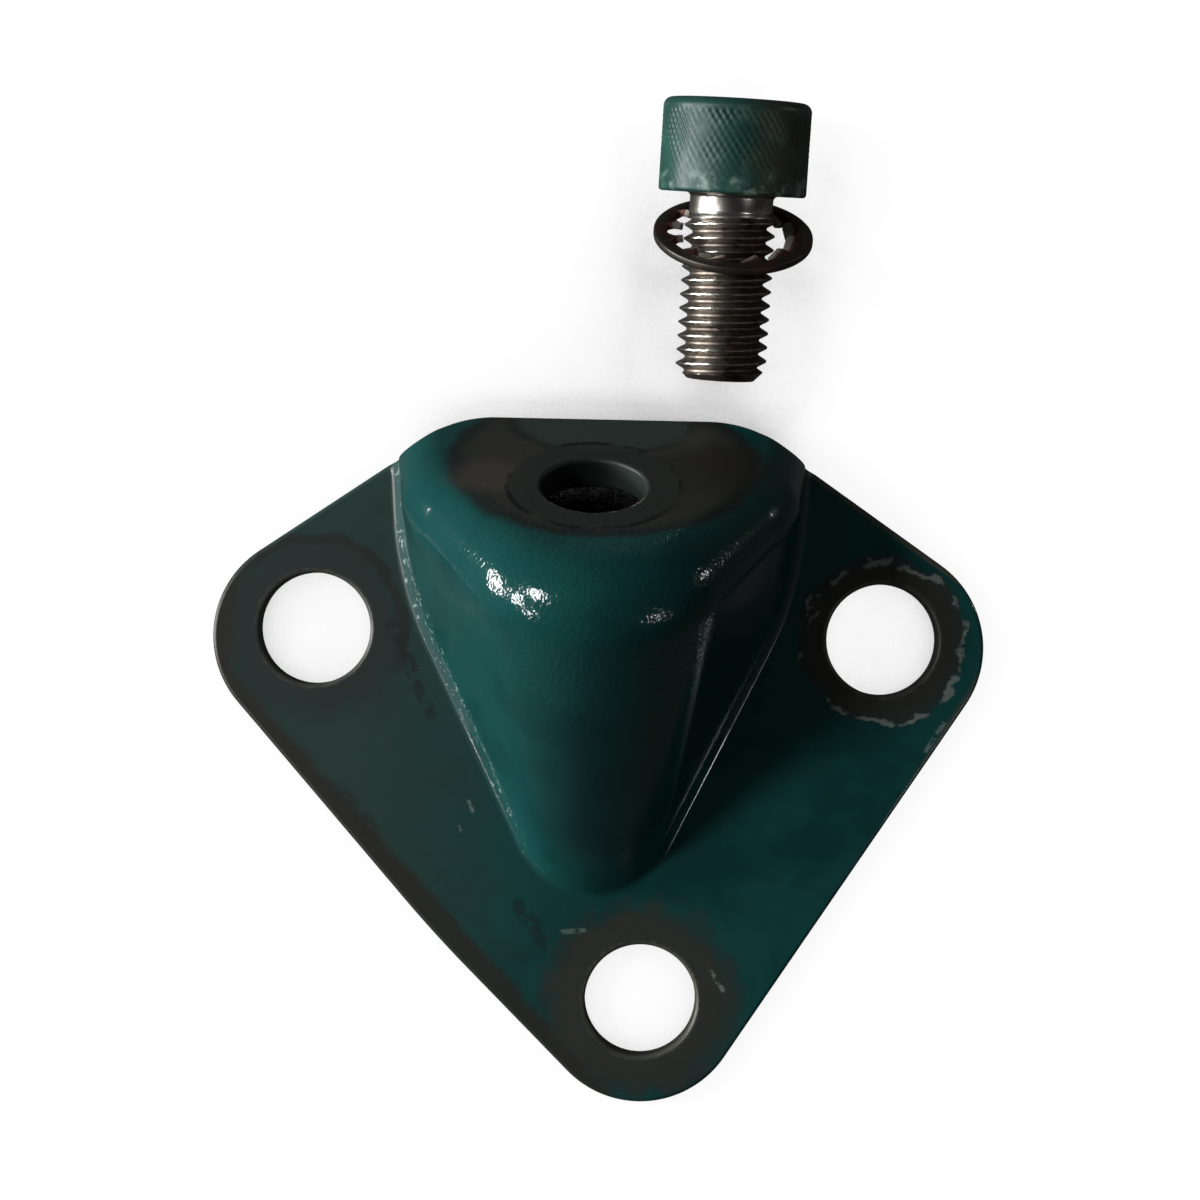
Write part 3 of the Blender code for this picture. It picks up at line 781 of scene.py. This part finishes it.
def fromAxis(place, point, axis, clouds, amount, squeeze=(1, 1, 1)):
    # Distance from an axis, made uneven by the clouds
    tree = place.id_data
    offset = addNode(tree, "VectorMath", {0: place, 1: point}, operation="SUBTRACT")
    fitted = addNode(tree, "VectorMath", {0: offset, 1: squeeze}, operation="MULTIPLY")
    across = addNode(tree, "VectorMath", {0: fitted, 1: axis}, operation="CROSS_PRODUCT")
    far = addNode(tree, "VectorMath", {0: across}, out="Value", operation="LENGTH")
    return addNode(tree, "Math", {0: clouds, 1: amount, 2: far}, operation="MULTIPLY_ADD")


def nearAxis(place, point, axis, full, gone, clouds, amount, strength=1, *squeeze):
    # Patch round an axis: full to one radius and gone at the next
    return addNode(
        place.id_data, "MapRange",
        {"Value": fromAxis(place, point, axis, clouds, amount, *squeeze),
         "From Min": full, "From Max": gone, "To Min": strength, "To Max": 0},
        interpolation_type="SMOOTHSTEP")


def ringLine(place, point, axis, radius, width, clouds, amount):
    # Fine line round an axis
    tree = place.id_data
    away = fromAxis(place, point, axis, clouds, amount)
    offLine = addNode(tree, "Math", {0: away, 1: radius}, operation="SUBTRACT")
    gap = addNode(tree, "Math", {0: offLine}, operation="ABSOLUTE")
    return addNode(
        tree, "MapRange",
        {"Value": gap, "From Min": width * 0.3, "From Max": width, "To Min": 1, "To Max": 0},
        interpolation_type="SMOOTHSTEP")


def beyond(place, point, normal, none, full, clouds, amount, strength=1):
    # Rises from 0 to `strength` between two distances along a direction
    tree = place.id_data
    offset = addNode(tree, "VectorMath", {0: place, 1: point}, operation="SUBTRACT")
    along = addNode(
        tree, "VectorMath", {0: offset, 1: normal}, out="Value", operation="DOT_PRODUCT")
    moved = addNode(tree, "Math", {0: clouds, 1: amount, 2: along}, operation="MULTIPLY_ADD")
    return addNode(
        tree, "MapRange",
        {"Value": moved, "From Min": none, "From Max": full, "To Max": strength},
        interpolation_type="SMOOTHSTEP")


def markBetween(place, start, end, width, strength):
    # A mark between two points: scratches, rubs, chips, dirt, and one painted glint
    tree = place.id_data
    run = [b - a for a, b in zip(start, end)]
    length = sum(c * c for c in run)
    offset = addNode(tree, "VectorMath", {0: place, 1: start}, operation="SUBTRACT")
    along = addNode(
        tree, "VectorMath", {0: offset, 1: [c / length for c in run]},
        out="Value", operation="DOT_PRODUCT")
    held = addNode(tree, "Clamp", {"Value": along})
    foot = addNode(tree, "VectorMath", {0: run, "Scale": held}, operation="SCALE")
    gap = addNode(tree, "VectorMath", {0: offset, 1: foot}, out="Value", operation="DISTANCE")
    return addNode(
        tree, "MapRange",
        {"Value": gap, "From Min": width * 0.3, "From Max": width,
         "To Min": strength, "To Max": 0},
        interpolation_type="SMOOTHSTEP")


enamel = {
    "paint": "#164745",
    "paintDeep": "#113c3b",
    "run": "#10403e",
    # grease with painted shade, for the boss's front and right side
    "greaseAndShade": "#0a2628",
    "dustAndSheen": "#3d4440",  # dust and oil, with a painted grey sheen
    "chip": "#83958e",
    "arc": "#20231e",
    "lifted": "#7d8882",  # pale broken border of the coat
    "bareRim": "#55534a",
    "print": "#252a28",
    "printLine": "#0c0f0e",
    "bore": "#29312f",
    "boreShade": "#0e1111",
    "undercoat": "#c4beb4",
    "dirtMark": "#161d1b",
    # colour of the scratches and of the painted glint on the right plate edge
    "scratchAndGlintMark": "#6d7f7a",
    "roughness": 0.12,
    "wornRoughness": 0.42,
    "peelSize": 0.55,
    "peelHeight": 0.06,
    "leftHole": (-31.2, -3.86, 0),
    "rightHole": (31.2, -3.86, 0),
    "footHole": (5.45, -44.01, 0),
    "ledgeHole": (-0.8, 11.8, 19.5),
    "printRadius": 9,  # the lock washer's mark round the ledge's hole
    # Paint rubbed brown-grey round the bolts: full to, gone at, colour, unevenness, strength
    "stains": [
        ("leftHole", 7.4, 11.4, "#29312f", 4, 0.85),
        ("footHole", 8, 12.5, "#29312f", 6, 0.8),
        ("rightHole", 8.9, 9.6, "#29312f", 2.5, 0.8),
        ("footHole", 7.8, 12, "#35322a", 5, 0.6),
        ("rightHole", 7.2, 9.2, "#35322a", 3, 0.8),
    ],
    # Grime and thin coat on edges: way out, none at, full at, colour, unevenness, strength
    "edges": [
        ("leftHole", (-0.732, -0.682, 0), 9.2, 10.6, "#2b251e", 2, 0.8),
        ("leftHole", (-0.99, 0.1, 0), 7.9, 9.9, "#2b251e", 2, 0.75),
        ("rightHole", (0.566, 0.824, 0), 9.7, 10.1, "#5b5547", 0.3, 0.6),
        ("rightHole", (0.86, -0.52, 0), 10.75, 11.1, "#4c483d", 0.3, 0.5),
    ],
    # Rubs on the ledge, down to undercoat and bare steel: across and down from the hole,
    # full to, gone at, squeeze across, colour, roughness, unevenness, strength
    "rubs": [
        (0.8, 5, 14.9, 16.4, 0.96, "#1b1a16", 0.5, 1.6, 0.8),
        (0.8, 5, 12.9, 15.2, 0.96, "#31322f", 0.46, 2.4, 0.95),
        (-10.8, 1.6, 1.6, 5.2, 0.9, "#454139", 0.4, 2.6, 0.75),
        (13, 4, 3, 7.5, 0.9, "#1d1c18", 0.46, 3, 0.85),
        (8, -1, 2, 7, 0.8, "#222420", 0.46, 3, 0.6),
        (0.9, 14.6, 7.7, 9.1, 0.8, "#1d2421", 0.4, 1.6, 0.9),
        (0.9, 14.6, 6.9, 8.2, 0.8, "#313d39", 0.24, 1.6, 0.9),
    ],
    # Marks: start, end, width, strength
    "dirt": [
        ((-22.6, -3.6, 3.5), (-20.3, -8.4, 3.5), 1.1, 0.8),
        ((-20.4, -8.8, 3.5), (-18.2, -13, 3.5), 0.9, 0.7),
        ((-28, -22, 3.5), (-24.4, -26, 3.5), 1.4, 0.5),
        ((-8, -34, 3.5), (-4.4, -38.6, 3.5), 1.3, 0.5),
    ],
    "scratchesAndGlint": [
        ((-4.9, 15.4, 17.1), (-3.2, 15.5, 17.1), 0.45, 0.8),
        ((2.4, 15, 17.2), (3.3, 15.2, 17.1), 0.4, 0.7),
        # painted glint: a pale line on the right plate edge's lower bevel, where it catches the
        # light
        ((36.3, -15.9, 3.3), (38.2, -12.8, 3.3), 0.45, 0.9),
        ((13, -40.5, 3.5), (14.5, -42.7, 3.5), 0.36, 0.8),
        ((-3.4, -36.7, 3.5), (-0.9, -36.4, 3.5), 0.4, 0.5),
        ((-13.9, -22.5, 3.5), (-13.4, -23.6, 3.5), 0.3, 0.7),
        ((-14.9, -25.4, 3.5), (-14.6, -26.2, 3.5), 0.25, 0.6),
    ],
}


def makeGreenEnamel():
    # Air-drying gloss enamel brushed over pressed steel: deep teal and wet-looking on the clean
    # faces, with a fine orange peel, and dulled brown-grey where bolts and hands have rubbed it
    wear, gloss, dull = enamel, enamel["roughness"], enamel["wornRoughness"]
    coat, place = startMaterial("brushedGreenEnamel", wear["paint"], gloss)
    ledgeHole, ledgeUp = wear["ledgeHole"], tuple(ledgeNormal)
    fine, medium, broad = cloud(place, 0.8), cloud(place, 3), cloud(place, 11)

    cover(coat, wear["paintDeep"], gloss, flecks(place, 11, -0.05, 0.15))
    # Runs of the coat down the walls
    runs = cloud(place, 2.4, 2, (1, 0.14, 0.14))
    run = beyond(place, (0, 0, 6), above, 0, 4, runs, 6, 0.3)
    cover(coat, wear["run"], gloss, run)
    # Grease and painted shade darken the boss's front and right side, the side turned away from
    # the lamps
    greaseAndShadeMask = beyond(place, (-1, 0, 0), (0.94, -0.34, 0), -3, 9, broad, 6, 0.55)
    onBoss = beyond(place, (0, 0, 5), above, 0, 6, broad, 3)
    cover(coat, wear["greaseAndShade"], 0.2, greaseAndShadeMask, onBoss)
    # Dust and oil, with a painted grey sheen, on the left half of the flange, the half nearer the
    # lamps
    flat = beyond(place, (0, 0, 3.9), below, -0.3, 0.2, fine, 0.1)
    dustAndSheen = beyond(place, origin, (-0.995, 0.1, 0), -4, 26, broad, 16, 0.62)
    cover(coat, wear["dustAndSheen"], 0.3, dustAndSheen, flat)

    # Dirt and small chips along the fold at the boss's left foot
    aboveFlange = beyond(place, (0, 0, 3.55), above, 0, 0.15, fine, 0.1)
    inFold = beyond(place, (0, 0, 5.6), below, 0, 0.7, fine, 0.8)
    rear = beyond(place, (0, -15, 0), rearward, -1, 2, medium, 2)
    cover(coat, wear["paintDeep"], 0.75, inFold, rear, aboveFlange)
    low = beyond(place, (-12, 0, 6.2), (-0.3, 0, -0.95), 0, 0.8, medium, 2)
    chips = flecks(place, 0.9, 0.09, 0.13, 0.8)
    cover(coat, wear["chip"], 0.3, low, aboveFlange, chips)

    for hole, full, gone, colour, amount, strength in wear["stains"]:
        patch = nearAxis(place, wear[hole], above, full, gone, medium, amount, strength)
        cover(coat, colour, dull, patch)
    # Dark arc where the left stain ends
    arc = ringLine(place, wear["leftHole"], above, 9.9, 0.9, medium, 2.2)
    upper = beyond(place, wear["leftHole"], (0.5, 0.866, 0), -1, 3, medium, 2, 0.7)
    cover(coat, wear["arc"], 0.45, arc, upper)
    # Pale broken border of the coat round the right hole, and dull bare rims of the holes
    border = ringLine(place, (31.5, -4.2, 0), above, 8.8, 0.45, medium, 4)
    cover(coat, wear["lifted"], 0.5, border, flecks(place, 2.6, -0.04, 0.06, 0.7))
    for hole in ("leftHole", "rightHole", "footHole"):
        rim = nearAxis(place, wear[hole], above, 6.3, 6.75, fine, 1, 0.6)
        cover(coat, wear["bareRim"], 0.4, rim)
    for hole, outward, none, full, colour, amount, strength in wear["edges"]:
        band = beyond(place, wear[hole], outward, none, full, medium, amount, strength)
        cover(coat, colour, dull, band, flat)

    # The ledge: rounded patches rubbed by the part it carried
    onSeat = beyond(place, ledgeHole, ledgeUp, -1.6, -0.5, fine, 0.3)
    for across, down, full, gone, squeeze, colour, roughness, amount, strength in wear["rubs"]:
        middle = Vector(ledgeHole) + Vector((across, 0, 0)) + ledgeDown * down
        patch = nearAxis(
            place, middle, ledgeUp, full, gone, medium, amount, strength, (squeeze, 1, 1))
        cover(coat, colour, roughness, patch, onSeat)
    # The lock washer's print: a dark line round a slightly darker disc
    disc = nearAxis(place, ledgeHole, ledgeUp, 8.6, 9, fine, 0.3, 0.75)
    cover(coat, wear["print"], 0.36, disc, onSeat)
    line = ringLine(place, ledgeHole, ledgeUp, wear["printRadius"], 0.42, fine, 0.3)
    gaps = flecks(place, 4, -0.08, 0.04, 0.95)
    cover(coat, wear["printLine"], 0.5, line, gaps, onSeat)
    # The hole's cut wall, thinly painted and dirty
    bore = nearAxis(place, ledgeHole, ledgeUp, 5.5, 5.7, fine, 0.2)
    cover(coat, wear["bore"], 0.5, bore)
    # Painted shade on the left part of the hole's wall, which faces away from the lamps
    shadeSide = beyond(place, (1.4, 0, 0), left, -2, 2, medium, 1)
    cover(coat, wear["boreShade"], 0.6, bore, shadeSide)
    # Paint broken off round the mouth of the screw's hole
    mouth = nearAxis(place, ledgeHole, ledgeUp, 5.75, 6, fine, 1.4)
    high = beyond(place, ledgeHole, tuple(ledgeDown), -2, -4, medium, 2)
    cover(coat, wear["undercoat"], 0.34, mouth, high, flecks(place, 0.8, -0.03, 0.05))

    for marks, colour, roughness, *breaks in (
            ("dirt", wear["dirtMark"], 0.5, 1.3, -0.08, 0.04),
            ("scratchesAndGlint", wear["scratchAndGlintMark"], 0.45, 0.8, -0.1, 0.05)):
        for start, end, width, strength in wear[marks]:
            mark = markBetween(place, start, end, width, strength)
            cover(coat, colour, roughness, mark, flecks(place, *breaks))

    # Orange peel on slow waves of the brushed coat. Runs and sags gather along the rim, the
    # walls are smoother, and the flange is smoothest
    peel = cloud(place, wear["peelSize"], 1)
    tree = place.id_data
    relief = addNode(tree, "Math", {0: broad, 1: 0.8, 2: peel}, operation="MULTIPLY_ADD")
    ridge = beyond(place, (0, 0, 20), above, 0, 8, broad, 5)
    for mask, outside, inside in ((flat, 1, 0.09), (ridge, 0.22, 1)):
        calm = addNode(tree, "MapRange", {"Value": mask, "To Min": outside, "To Max": inside})
        relief = addNode(tree, "Math", {0: relief, 1: calm}, operation="MULTIPLY")
    return endMaterial(coat, relief, wear["peelHeight"], {"IOR": 1.5, "Specular IOR Level": 0.3})


screwFinish = {
    "paint": "#1f423b",
    "paintPale": "#28524b",
    "paintRubbed": "#6d9085",
    "paintBare": "#93aaa2",
    "grime": "#363b32",
    "steel": "#b8b5ae",
    "oxide": "#4b3d33",
    "neck": "#645f58",
    # brown stain with painted shade, for the thread's right half
    "stainAndShadeRight": "#54473d",
    "oily": "#3b342e",
    "rust": "#6b3c2e",
}


def makeHeadPaint(lying):
    # The same enamel over a knurled steel head: thick in the grooves, rubbed pale on the left
    # and browned with oily hands on the right
    finish = screwFinish
    coat, place = startMaterial("enamelOverKnurledSteel", finish["paint"], 0.4, lying)
    fine, medium = cloud(place, 0.7), cloud(place, 2.4)
    cover(coat, finish["paintPale"], 0.32, flecks(place, 6, -0.02, 0.16, 0.5))
    grimy = beyond(place, (0.6, 0, 0), right, -1, 3.2, medium, 4, 0.82)
    cover(coat, finish["grime"], 0.42, grimy)
    # Rubbed pale lands of the knurl, and bare spots at the foot of the head
    grooves = nearAxis(place, origin, above, 7.93, 7.985, fine, 0.05)
    land = addNode(place.id_data, "Math", {0: 1, 1: grooves}, operation="SUBTRACT")
    rubbed = flecks(place, 2.4, -0.02, 0.16, 0.2)
    cover(coat, finish["paintRubbed"], 0.3, land, rubbed)
    foot = beyond(place, (0, 0, 22.6), below, 0, 1.4, medium, 3)
    cover(coat, finish["paintBare"], 0.32, foot, flecks(place, 1.6, 0, 0.16, 0.5))
    return endMaterial(coat, fine, 0.012, {"IOR": 1.5, "Specular IOR Level": 0.2})


def makeThreadSteel(lying):
    # Rolled and oiled screw steel: bright where it has rubbed, brown oxide in the roots
    finish, neckFoot = screwFinish, (0, 0, 18)
    coat, place = startMaterial("rolledScrewSteel", finish["steel"], 0.26, lying)
    fine, broad = cloud(place, 0.35, 4), cloud(place, 3.5)
    roots = nearAxis(place, origin, above, 4.05, 4.5, fine, 0.2, 0.8)
    cover(coat, finish["oxide"], 0.5, roots)
    neck = beyond(place, neckFoot, above, 0, 0.6, fine, 0.4, 0.5)
    cover(coat, finish["neck"], 0.3, neck)
    thread = beyond(place, neckFoot, below, 0, 0.7, fine, 0.4)
    # Brown stain and painted shade darken the thread's right half, the side away from the lamps
    stainAndShadeRight = beyond(place, (0.4, 0, 0), right, -1.6, 1.6, broad, 5, 0.85)
    cover(coat, finish["stainAndShadeRight"], 0.46, stainAndShadeRight, thread)
    cover(coat, finish["oily"], 0.42, flecks(place, 1.5, 0.05, 0.13, 0.65), thread)
    cover(coat, finish["rust"], 0.6, flecks(place, 1.2, 0.12, 0.2, 0.6), stainAndShadeRight)
    return endMaterial(coat, fine, 0.008, {"Metallic": 1})


washerFinish = {
    "phosphate": "#3b3833",
    "rust": "#4c2a22",
    "rubbed": "#b4aca4",
}


def makeSpringSteel(leaning):
    # Hardened spring steel, phosphated dark and oiled, with rust blooms and rubbed tooth tips
    finish = washerFinish
    coat, place = startMaterial("phosphatedSpringSteel", finish["phosphate"], 0.4, leaning)
    fine, medium = cloud(place, 0.4, 4), cloud(place, 1.4)
    cover(coat, finish["rust"], 0.6, flecks(place, 3.2, 0, 0.12, 0.7))
    inside = nearAxis(place, origin, above, 7.1, 7.6, medium, 1, 0.7)
    cover(coat, finish["rust"], 0.6, inside)
    tips = nearAxis(place, origin, above, 6.3, 6.8, medium, 1.2, 0.9)
    cover(coat, finish["rubbed"], 0.32, tips)
    return endMaterial(coat, fine, 0.01, {"Metallic": 0.75})


plate = makeBracket()
plate.data.materials.clear()
plate.data.materials.append(makeGreenEnamel())
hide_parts("mount_bracket")
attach(plate, "root")
print("bracket:", len(plate.data.polygons), "faces")

screw = makeCapScrew()
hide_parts("cap_screw")
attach(screw, "root")
print("screw:", len(screw.data.polygons), "faces")

washer = makeLockWasher()
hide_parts("lock_washer")
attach(washer, "root")
print("washer:", len(washer.data.polygons), "faces")


# Table, light and camera

table = {
    "size": 30,
    "colour": "#4c4c4c",  # grey in itself, so it throws little light up at the walls
    # painted shade on the table under the boss
    "paintedShadeUnderBoss": "#141414",
    "glow": 1,  # brings it to white for the eye
    "mirrored": 0.03,  # share of the glow that polished surfaces see
    "shade": 0.18,  # depth of the soft shade round the part
    "closeSky": 7,  # reach in mm of the two looks at the open sky
    "wideSky": 45,
    "leastSky": 0.08,
    "openShare": (0.36, 0.62),
    "skySamples": 6,
}


def makeTable():
    half, samples = table["size"] / 2 / mm, table["skySamples"]
    corners = [(x * half, y * half, -0.02) for x, y in ((-1, -1), (1, -1), (1, 1), (-1, 1))]
    floor = meshObject("tableTop", corners, [(0, 1, 2, 3)])
    coat, place = startMaterial("whiteTable", table["colour"], 1)
    tree = place.id_data
    # Wide and close open sky differ only under the boss, which stays dark: painted shade, which
    # darkens the table's glow and colour there
    close, wide = [
        addNode(tree, "AmbientOcclusion", {"Distance": reach * mm}, out="AO", samples=samples)
        for reach in (table["closeSky"], table["wideSky"])]
    kept = addNode(tree, "Math", {0: close, 1: table["leastSky"]}, operation="MAXIMUM")
    share = addNode(tree, "Math", {0: wide, 1: kept}, operation="DIVIDE", use_clamp=True)
    least, most = table["openShare"]
    share = addNode(tree, "MapRange", {"Value": share, "From Min": least, "From Max": most})
    soft = addNode(tree, "MapRange", {"Value": wide, "To Min": 1 - table["shade"]})
    rays = addNode(tree, "LightPath", {}).node.outputs
    mirrored = addNode(
        tree, "Math", {0: rays["Is Glossy Ray"], 1: table["mirrored"]}, operation="MULTIPLY")
    direct = addNode(
        tree, "Math", {0: rays["Is Camera Ray"], 1: rays["Is Transmission Ray"]},
        operation="MAXIMUM")
    strength = addNode(tree, "Math", {0: direct, 1: mirrored}, operation="MAXIMUM")
    for factor in (table["glow"], share, soft):
        strength = addNode(tree, "Math", {0: strength, 1: factor}, operation="MULTIPLY")
    shine = addNode(tree, "Emission", {"Strength": strength})
    # The table's colour, painted darker where the sky is hidden under the boss
    shadedTableColour = addNode(
        tree, "Mix",
        {0: share, 6: toLinear(table["paintedShadeUnderBoss"]), 7: toLinear(table["colour"])},
        out=2, data_type="RGBA")
    matt = addNode(tree, "BsdfDiffuse", {"Color": shadedTableColour})
    total = addNode(tree, "AddShader", {0: shine, 1: matt})
    addNode(tree, "OutputMaterial", {"Surface": total})
    floor.data.materials.append(coat["material"])


lights = {
    # azimuth from +X, elevation, distance m, width m, height m, radiance, lights the colour too
    "highWindow": (170, 45, 0.90, 0.18, 0.18, 42, True),
    "lowWindow": (174, 6, 0.90, 0.36, 0.18, 50, True),
    "paneFold": (206, 30, 0.60, 0.05, 0.05, 70, False),
    "paneShoulder": (187, 28, 0.60, 0.14, 0.08, 45, False),
    "doorway": (-30, 40, 0.60, 0.03, 0.04, 60, False),
    "doorwayLow": (20, 6, 0.60, 0.04, 0.03, 60, False),
}
room = {
    "strength": 0.105,
    "mirrored": 0.25,  # share of it that polished surfaces see
}


def makeLights():
    for name, (azimuth, elevation, distance, width, height, radiance, coloured) in lights.items():
        lamp = bpy.data.lights.new(name, "AREA")
        lamp.shape = "RECTANGLE"
        lamp.size, lamp.size_y = width, height
        lamp.energy = radiance * math.pi * width * height
        item = placeObject(name, lamp)
        around, up = math.radians(azimuth), math.radians(elevation)
        direction = Vector((
            math.cos(around) * math.cos(up), math.sin(around) * math.cos(up), math.sin(up)))
        item.location = direction * distance
        item.rotation_euler = direction.to_track_quat("Z", "Y").to_euler()
        item.visible_camera = False
        item.visible_diffuse = coloured
    world = bpy.data.worlds.new("dimRoom")
    world.use_nodes = True
    tree = world.node_tree
    tree.nodes.clear()
    glossy = addNode(tree, "LightPath", {}, out="Is Glossy Ray")
    dim, mirrored = room["strength"], room["strength"] * room["mirrored"]
    strength = addNode(tree, "MapRange", {"Value": glossy, "To Min": dim, "To Max": mirrored})
    air = addNode(tree, "Background", {"Color": toLinear("#ffffff"), "Strength": strength})
    addNode(tree, "OutputWorld", {"Surface": air})
    scene.world = world


view = {
    "centreX": 0.0896,
    "centreY": -0.1117,
    "height": 280,
    "roll": 1.229,
    "focalPixels": 2516,
    "imagePixels": 1200,
    "sensor": 36,
}


def makeCamera():
    lens = bpy.data.cameras.new("photoView")
    lens.sensor_width = view["sensor"]
    lens.lens = view["sensor"] * view["focalPixels"] / view["imagePixels"]
    lens.clip_start = 0.01
    lens.clip_end = 60
    item = placeObject("photoView", lens)
    item.location = Vector((view["centreX"], view["centreY"], view["height"])) * mm
    item.rotation_euler = (0, 0, math.radians(view["roll"]))
    scene.camera = item


makeTable()
makeLights()
makeCamera()
scene.view_settings.view_transform = "Standard"
print("table, lights and camera set")
